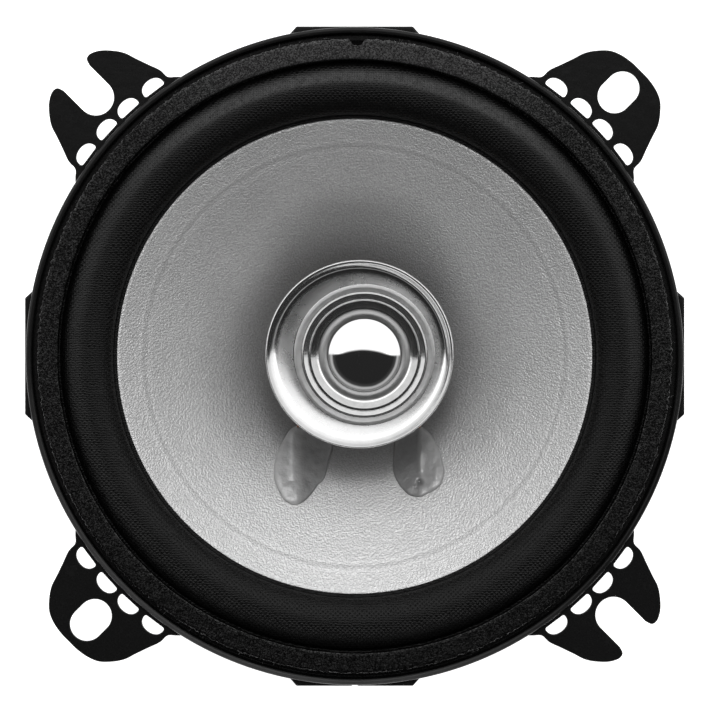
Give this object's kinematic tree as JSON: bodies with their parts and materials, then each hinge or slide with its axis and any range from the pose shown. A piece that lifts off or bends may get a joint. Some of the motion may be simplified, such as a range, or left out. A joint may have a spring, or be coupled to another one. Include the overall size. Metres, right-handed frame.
{
  "type": "coaxial car speaker",
  "caption": "Round coaxial car loudspeaker with slotted and hooked fixing ears, a silver cone on a cloth surround and a dome tweeter in a metal dish on a central post.",
  "frame": {"origin": "on the speaker's axis, in the plane of the yoke's back face", "axes": "+Z along the axis towards the listener; the terminals are on the -Y side; the slotted ears are at 45 and 225 degrees from +X and the hooked ears at 135 and 315"},
  "size_m": [0.102, 0.102, 0.05],
  "materials": {
    "black_steel": "satin black paint",
    "grey_foam": "matte felted foam",
    "zinc_steel": "bright zinc plate",
    "ferrite": "matte sintered",
    "silver_cone": "pebbled satin silver coating",
    "black_cloth": "coated woven cloth",
    "amber_cloth": "resin-stiffened woven cloth",
    "coil_film": "translucent amber film",
    "copper": "enamelled copper",
    "glue": "glossy translucent glue",
    "black_plastic": "fine moulded grain",
    "polished_silver": "satin to polished",
    "mirror_film": "mirror",
    "phenolic": "laminated board",
    "tinned_brass": "dull tin plate over brass",
    "capacitor_sleeve": "shrunk sleeve",
    "tinned_wire": "tinned",
    "tinsel": "braided",
    "red_jacket": "soft vinyl",
    "black_jacket": "soft vinyl"
  },
  "bodies": {
    "frame": {"basket": "black_steel", "gasket": "grey_foam", "yoke": "zinc_steel", "magnet_ring": "ferrite", "top_plate": "zinc_steel", "motor_rivet_1": "zinc_steel", "motor_rivet_2": "zinc_steel", "motor_rivet_3": "zinc_steel", "motor_rivet_4": "zinc_steel", "surround": "black_cloth", "spider": "amber_cloth", "tweeter_post": "black_plastic", "post_nut": "zinc_steel", "tweeter_housing": "black_plastic", "tweeter_dish": "polished_silver", "tweeter_face_ring": "polished_silver", "tweeter_suspension": "mirror_film", "tweeter_pole_plate": "zinc_steel", "tweeter_magnet": "ferrite", "tweeter_yoke": "zinc_steel", "terminal_board": "phenolic", "terminal_positive": "tinned_brass", "terminal_negative": "tinned_brass", "terminal_rivet_positive": "tinned_brass", "terminal_rivet_negative": "tinned_brass", "board_rivet": "zinc_steel", "crossover_capacitor": "capacitor_sleeve", "capacitor_lead": "tinned_wire", "tinsel_lead_left": "tinsel", "tinsel_lead_right": "tinsel", "tweeter_lead_positive": "red_jacket", "tweeter_lead_negative": "black_jacket"},
    "cone_assembly": {"cone": "silver_cone", "coil_former": "coil_film", "coil_winding": "copper", "glue_dab_left": "glue", "glue_dab_right": "glue", "coil_lead_left": "copper", "coil_lead_right": "copper"},
    "tweeter_diaphragm": {"tweeter_dome": "mirror_film", "tweeter_coil": "copper"}
  },
  "joints": [
    {"name": "cone_excursion", "type": "slide", "parent": "frame", "child": "cone_assembly", "axis": [0, 0, 1], "range_m": [-0.003, 0.003], "stiffness_N_per_m": 1200, "deforming": ["surround", "spider", "tinsel_lead_left", "tinsel_lead_right"]},
    {"name": "dome_excursion", "type": "slide", "parent": "frame", "child": "tweeter_diaphragm", "axis": [0, 0, 1], "range_m": [-0.0003, 0.0003], "stiffness_N_per_m": 60, "deforming": ["tweeter_suspension"]}
  ]
}
